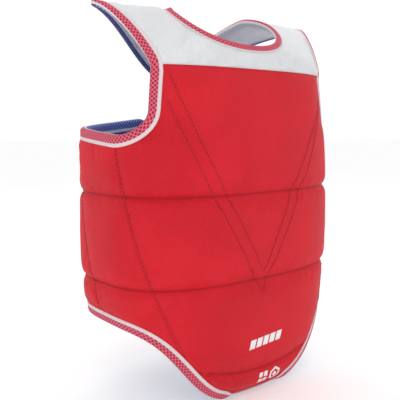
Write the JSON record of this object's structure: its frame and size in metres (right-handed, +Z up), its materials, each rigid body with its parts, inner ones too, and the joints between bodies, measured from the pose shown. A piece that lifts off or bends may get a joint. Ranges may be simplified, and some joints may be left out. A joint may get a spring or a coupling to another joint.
{
  "type": "chest protector",
  "caption": "Reversible padded trunk protector for sparring: quilted body round chest and sides, padded yoke over the shoulders, laced back wings and a bending lower flap.",
  "frame": {"origin": "top of the shoulders, midway between the two shoulder straps, where the wearer's shoulders carry the yoke", "axes": "+Z up along the wearer's spine, -Y the way the wearer faces, +X the wearer's left"},
  "size_m": [0.4152, 0.2717, 0.5844],
  "materials": {
    "body_red": "red satin-faced canvas, fine weave",
    "lining_blue": "blue canvas, fine weave",
    "yoke_white": "white coated canvas",
    "foam": "closed-cell foam, hidden between the layers",
    "tape_red": "braided binding tape, red dots outside and blue dots inside",
    "webbing": "flat woven webbing"
  },
  "bodies": {
    "front_body": {"front_pad_upper": "foam", "front_pad_middle": "foam", "front_pad_lower": "foam", "front_cover": "body_red", "front_lining": "lining_blue", "yoke_cover": "yoke_white", "yoke_pad": "foam", "yoke_lining": "yoke_white", "neck_tape_front": "tape_red", "side_right_pad_upper": "foam", "side_right_pad_middle": "foam", "side_right_pad_lower": "foam", "side_cover_right": "body_red", "side_lining_right": "lining_blue", "armhole_tape_right": "tape_red", "hem_tape_right": "tape_red", "side_left_pad_upper": "foam", "side_left_pad_middle": "foam", "side_left_pad_lower": "foam", "side_cover_left": "body_red", "side_lining_left": "lining_blue", "armhole_tape_left": "tape_red", "hem_tape_left": "tape_red"},
    "wing_right": {"wing_right_pad_upper": "foam", "wing_right_pad_middle": "foam", "wing_right_pad_lower": "foam", "wing_cover_right": "body_red", "wing_lining_right": "lining_blue", "wing_tape_right": "tape_red", "lace_loop_right_upper": "webbing", "lace_loop_right_middle": "webbing", "lace_loop_right_lower": "webbing"},
    "wing_left": {"wing_left_pad_upper": "foam", "wing_left_pad_middle": "foam", "wing_left_pad_lower": "foam", "wing_cover_left": "body_red", "wing_lining_left": "lining_blue", "wing_tape_left": "tape_red", "lace_loop_left_upper": "webbing", "lace_loop_left_middle": "webbing", "lace_loop_left_lower": "webbing"},
    "flap": {"flap_pad": "foam", "flap_cover": "body_red", "flap_lining": "lining_blue", "flap_tape": "tape_red"},
    "back_yoke": {"back_yoke_cover": "yoke_white", "back_yoke_pad": "foam", "back_yoke_lining": "yoke_white", "neck_tape_back": "tape_red", "back_yoke_tape": "tape_red", "lace_loop_yoke_right": "webbing", "lace_loop_yoke_left": "webbing"}
  },
  "joints": [
    {"name": "wing_right_fold", "type": "hinge", "parent": "front_body", "child": "wing_right", "pos_m": [-0.2028, 0.05825, -0.316], "axis": [0.0692, 0.3065, 0.9494], "range_deg": [0, 60]},
    {"name": "wing_left_fold", "type": "hinge", "parent": "front_body", "child": "wing_left", "pos_m": [0.2028, 0.05825, -0.316], "axis": [0.0692, -0.3065, -0.9494], "range_deg": [0, 60]},
    {"name": "flap_bend", "type": "hinge", "parent": "front_body", "child": "flap", "pos_m": [0, -0.1148, -0.539], "axis": [-1, 0, 0], "range_deg": [0, 35], "stiffness_Nm_per_rad": 0.3},
    {"name": "back_yoke_lift", "type": "hinge", "parent": "front_body", "child": "back_yoke", "pos_m": [0, 0.005, 0.0005], "axis": [1, 0, 0], "range_deg": [0, 90]}
  ]
}
